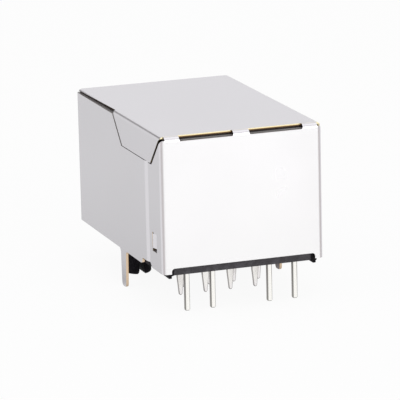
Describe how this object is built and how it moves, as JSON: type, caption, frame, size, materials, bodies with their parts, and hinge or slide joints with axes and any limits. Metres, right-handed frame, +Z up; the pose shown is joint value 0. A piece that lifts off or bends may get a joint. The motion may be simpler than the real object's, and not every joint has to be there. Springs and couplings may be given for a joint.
{
  "type": "ethernet jack",
  "caption": "Shielded right-angle network socket for a circuit board: folded metal shield round a black port body with sprung contacts, built-in coils, indicator lamps and solder pins.",
  "frame": {"origin": "midway between the two locating posts, on the surface of the board that the jack sits on", "axes": "+Z up from the board, +Y the way the plug goes in, from the port face to the closed rear, +X to the right as seen from the port"},
  "size_m": [0.0162, 0.0256, 0.0171],
  "materials": {
    "nickel_plate": "satin nickel plate on brass sheet, bare brass at the cut edges",
    "black_plastic": "moulded black, fine matt texture",
    "base_plastic": "moulded black, matt",
    "carrier_plastic": "moulded black, matt",
    "contact_gold": "gold plate on phosphor bronze, polished",
    "pin_tin": "bright tin plate on stamped brass",
    "lead_tin": "bright tin plate on square wire",
    "lamp_resin": "milky diffused resin",
    "ferrite": "coated ferrite, matt",
    "enamelled_copper": "enamelled copper wire",
    "board_laminate": "glass laminate with green solder mask",
    "chip_black": "chip resistor with tinned ends",
    "chip_tan": "ceramic chip with tinned ends"
  },
  "bodies": {
    "root": {"capacitor": "chip_tan", "circuit_board": "board_laminate", "coil_ring_1": "ferrite", "coil_ring_2": "ferrite", "coil_ring_3": "ferrite", "coil_ring_4": "ferrite", "coil_winding_1": "enamelled_copper", "coil_winding_2": "enamelled_copper", "coil_winding_3": "enamelled_copper", "coil_winding_4": "enamelled_copper", "contact_1": "contact_gold", "contact_2": "contact_gold", "contact_3": "contact_gold", "contact_4": "contact_gold", "contact_5": "contact_gold", "contact_6": "contact_gold", "contact_7": "contact_gold", "contact_8": "contact_gold", "contact_carrier": "carrier_plastic", "housing": "black_plastic", "lamp_lead_left_inner": "lead_tin", "lamp_lead_left_outer": "lead_tin", "lamp_lead_right_inner": "lead_tin", "lamp_lead_right_outer": "lead_tin", "lamp_left": "lamp_resin", "lamp_right": "lamp_resin", "pin_base": "base_plastic", "resistor_1": "chip_black", "resistor_2": "chip_black", "resistor_3": "chip_black", "resistor_4": "chip_black", "shield": "nickel_plate", "signal_pin_1": "pin_tin", "signal_pin_2": "pin_tin", "signal_pin_3": "pin_tin", "signal_pin_4": "pin_tin", "signal_pin_5": "pin_tin", "signal_pin_6": "pin_tin", "signal_pin_7": "pin_tin", "signal_pin_8": "pin_tin"}
  },
  "joints": []
}
